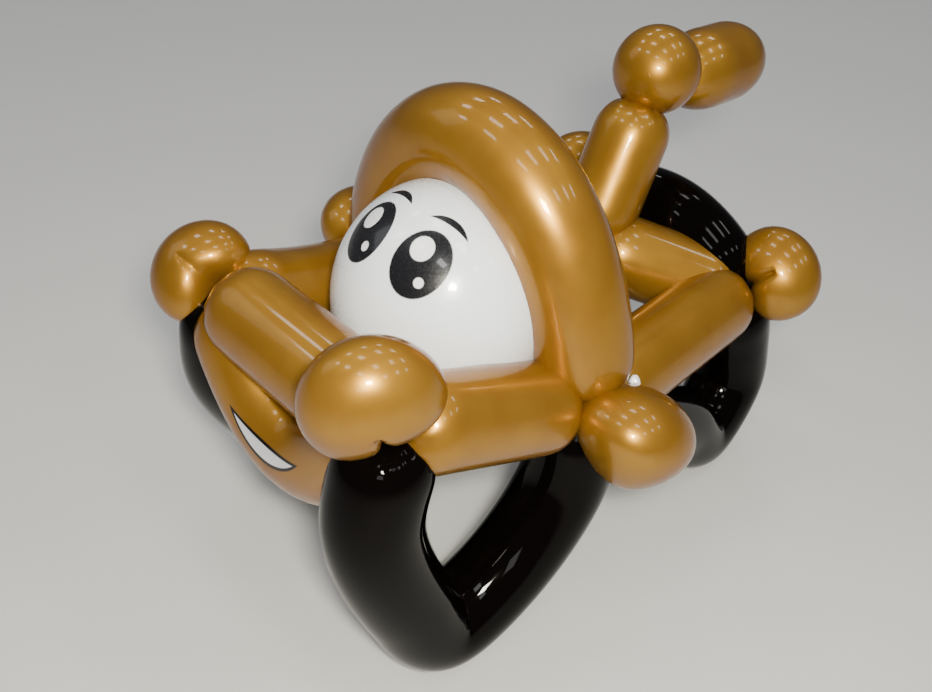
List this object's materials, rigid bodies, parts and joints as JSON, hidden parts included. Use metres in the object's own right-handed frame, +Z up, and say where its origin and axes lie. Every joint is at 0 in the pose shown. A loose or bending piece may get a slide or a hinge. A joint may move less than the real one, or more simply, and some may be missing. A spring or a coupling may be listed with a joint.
{
  "type": "balloon truck",
  "caption": "Twisted-balloon toy truck: gold body, roof arch, bed and boom, folded black wheel loops and a round white balloon with drawn eyes in the cab.",
  "frame": {"origin": "on the ground, under the middle of the truck's box", "axes": "+Z up, -Y towards the bumper, +Y towards the boom's end, +X to the truck's left-hand side (the viewer's right, looking at the front)"},
  "size_m": [0.2762, 0.4254, 0.2857],
  "materials": {
    "gold_latex": "pearl gold latex, stretched tight and glossy",
    "black_latex": "black latex, stretched tight and glossy",
    "white_latex": "white latex, satin gloss, with black marker drawing"
  },
  "bodies": {
    "root": {"body_balloon": "gold_latex", "bed_balloon": "gold_latex", "boom_balloon": "gold_latex", "wheel_balloon": "black_latex", "face_balloon": "white_latex"}
  },
  "joints": []
}
